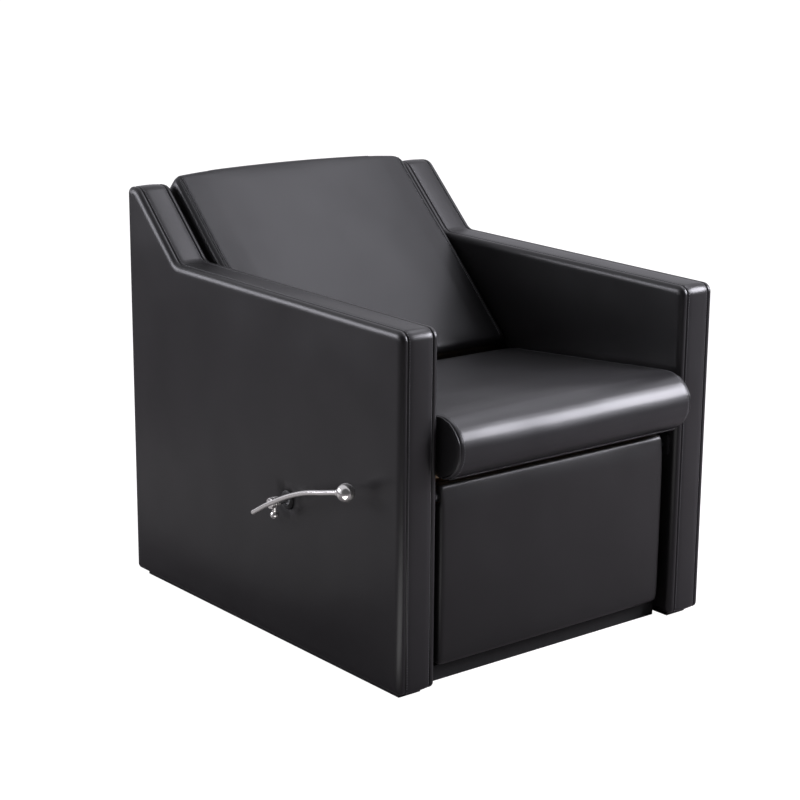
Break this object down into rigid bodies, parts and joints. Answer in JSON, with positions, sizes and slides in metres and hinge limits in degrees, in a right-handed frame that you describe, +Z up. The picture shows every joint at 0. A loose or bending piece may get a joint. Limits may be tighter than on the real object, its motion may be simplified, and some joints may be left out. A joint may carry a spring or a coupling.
{
  "type": "shampoo backwash chair",
  "caption": "Upholstered shampoo chair with box arms, a rolled seat, a reclining back and a hinged leg rest lifted by a chrome side lever.",
  "frame": {"origin": "on the floor, under the middle of the whole object's footprint, lever included", "axes": "+Z up, +Y towards the rear of the chair, so that a sitter faces -Y; the lever is at -X"},
  "size_m": [0.73, 0.829, 0.7391],
  "materials": {
    "leatherette": "black leatherette, fine grain, semi-gloss",
    "timber": "planed softwood",
    "plywood": "plywood",
    "black_board": "black-stained board",
    "black_plastic": "matte black",
    "black_steel": "black powder coat",
    "steel": "bright zinc",
    "nylon": "natural nylon",
    "chrome": "polished chrome"
  },
  "bodies": {
    "chair_frame": {"right_arm_outer_panel": "leatherette", "right_arm_inner_panel": "leatherette", "right_arm_boxing": "leatherette", "right_arm_front_post": "timber", "right_arm_top_rail": "timber", "right_arm_shoulder_rail": "timber", "right_arm_rear_post": "timber", "right_arm_bottom_rail": "timber", "right_runner": "black_plastic", "left_arm_outer_panel": "leatherette", "left_arm_inner_panel": "leatherette", "left_arm_boxing": "leatherette", "left_arm_front_post": "timber", "left_arm_top_rail": "timber", "left_arm_shoulder_rail": "timber", "left_arm_rear_post": "timber", "left_arm_bottom_rail": "timber", "left_runner": "black_plastic", "seat_cushion": "leatherette", "seat_board": "plywood", "seat_front_rail": "timber", "seat_rear_rail": "timber", "right_seat_cleat": "timber", "left_seat_cleat": "timber", "toe_board": "black_board", "kick_board": "black_board", "rear_panel_board": "plywood", "rear_panel_cover": "leatherette", "right_legrest_bracket": "black_steel", "left_legrest_bracket": "black_steel", "right_shaft_bearing": "nylon", "left_shaft_bearing": "nylon", "lever_escutcheon": "black_plastic", "right_back_bracket": "black_steel", "left_back_bracket": "black_steel"},
    "legrest": {"legrest_pad": "leatherette", "legrest_board": "plywood", "legrest_hinge_tube": "steel", "right_legrest_arm": "black_steel", "right_legrest_pin": "steel", "left_legrest_arm": "black_steel", "left_legrest_pin": "steel"},
    "lever": {"lever_shaft": "steel", "lever_hub": "chrome", "lever_rod": "chrome", "lever_knob": "chrome", "lever_clamp_screw": "chrome", "right_crank": "black_steel", "right_crank_pin": "steel", "left_crank": "black_steel", "left_crank_pin": "steel"},
    "push_rods": {"right_push_rod": "black_steel", "left_push_rod": "black_steel"},
    "backrest": {"back_cushion": "leatherette", "back_board": "plywood", "back_rear_cover": "leatherette", "right_back_strap": "black_steel", "right_back_pivot_bolt": "steel", "left_back_strap": "black_steel", "left_back_pivot_bolt": "steel"}
  },
  "joints": [
    {"name": "legrest_lift", "type": "hinge", "parent": "chair_frame", "child": "legrest", "pos_m": [0.025, -0.3395, 0.316], "axis": [-1, 0, 0], "range_deg": [0, 85]},
    {"name": "lever_turn", "type": "hinge", "parent": "chair_frame", "child": "lever", "pos_m": [0.025, -0.0735, 0.262], "axis": [-1, 0, 0], "range_deg": [0, 85]},
    {"name": "push_rod_pivot", "type": "hinge", "parent": "lever", "child": "push_rods", "pos_m": [0.025, -0.03546, 0.18043], "axis": [-1, 0, 0], "range_deg": [-85, 0]},
    {"name": "back_recline", "type": "hinge", "parent": "chair_frame", "child": "backrest", "pos_m": [0.025, 0.0985, 0.34], "axis": [-1, 0, 0], "range_deg": [0, 12]}
  ],
  "couplings": [
    {"joint": "lever_turn", "follows": "legrest_lift", "ratio": 1},
    {"joint": "push_rod_pivot", "follows": "legrest_lift", "ratio": -1}
  ]
}
